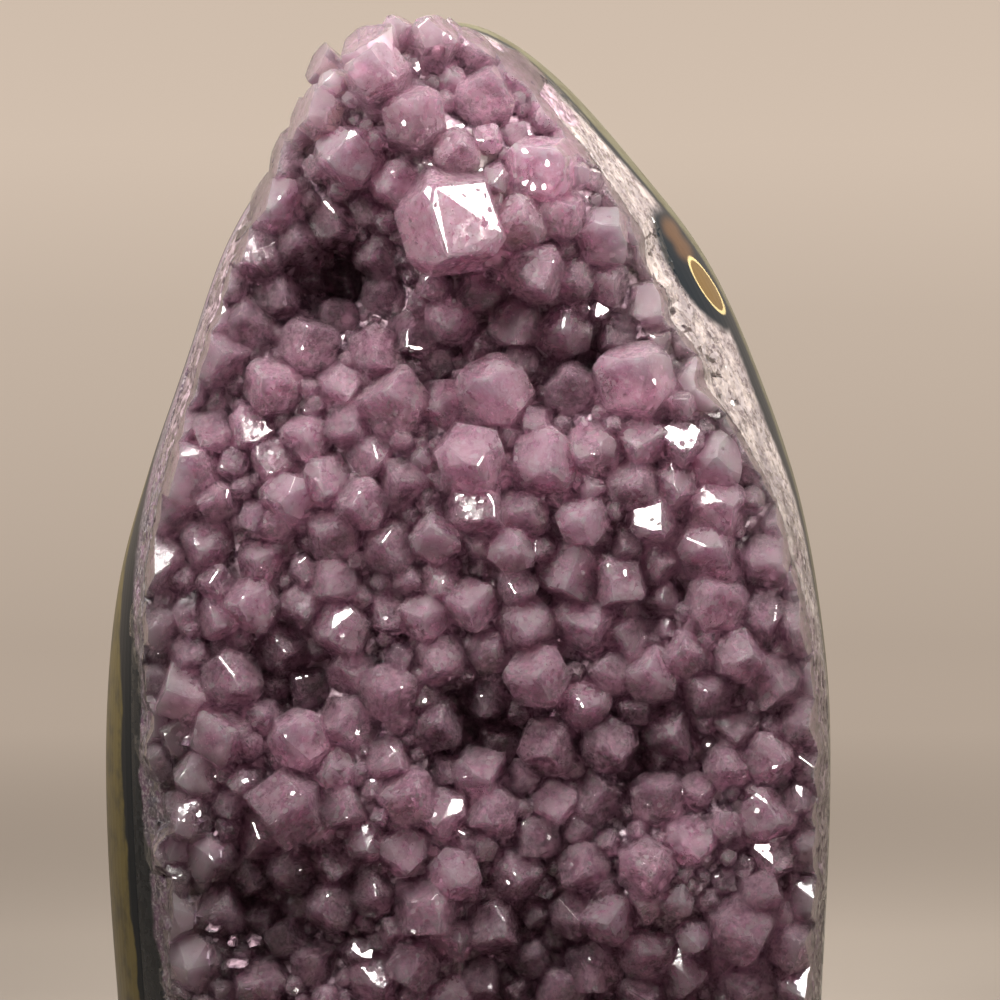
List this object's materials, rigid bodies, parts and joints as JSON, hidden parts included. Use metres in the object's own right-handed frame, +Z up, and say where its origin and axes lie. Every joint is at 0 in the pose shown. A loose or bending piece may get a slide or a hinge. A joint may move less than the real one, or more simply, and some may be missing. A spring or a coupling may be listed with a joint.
{
  "type": "polished amethyst cluster",
  "caption": "Tall arched slab of geode wall standing on a cut base, its front a crust of amethyst points, its edge ground and polished, its back rough agate and basalt rind.",
  "frame": {"origin": "middle of the bounding box, on the flat cut foot that the cluster stands on", "axes": "+Z up, the crystals face -Y, the rough back faces +Y, +X is to the right seen from the front"},
  "size_m": [0.1369, 0.0798, 0.2266],
  "materials": {
    "amethyst": "gloss",
    "rind": "satin"
  },
  "bodies": {
    "root": {"amethyst_crust": "amethyst", "agate_rind": "rind"}
  },
  "joints": []
}
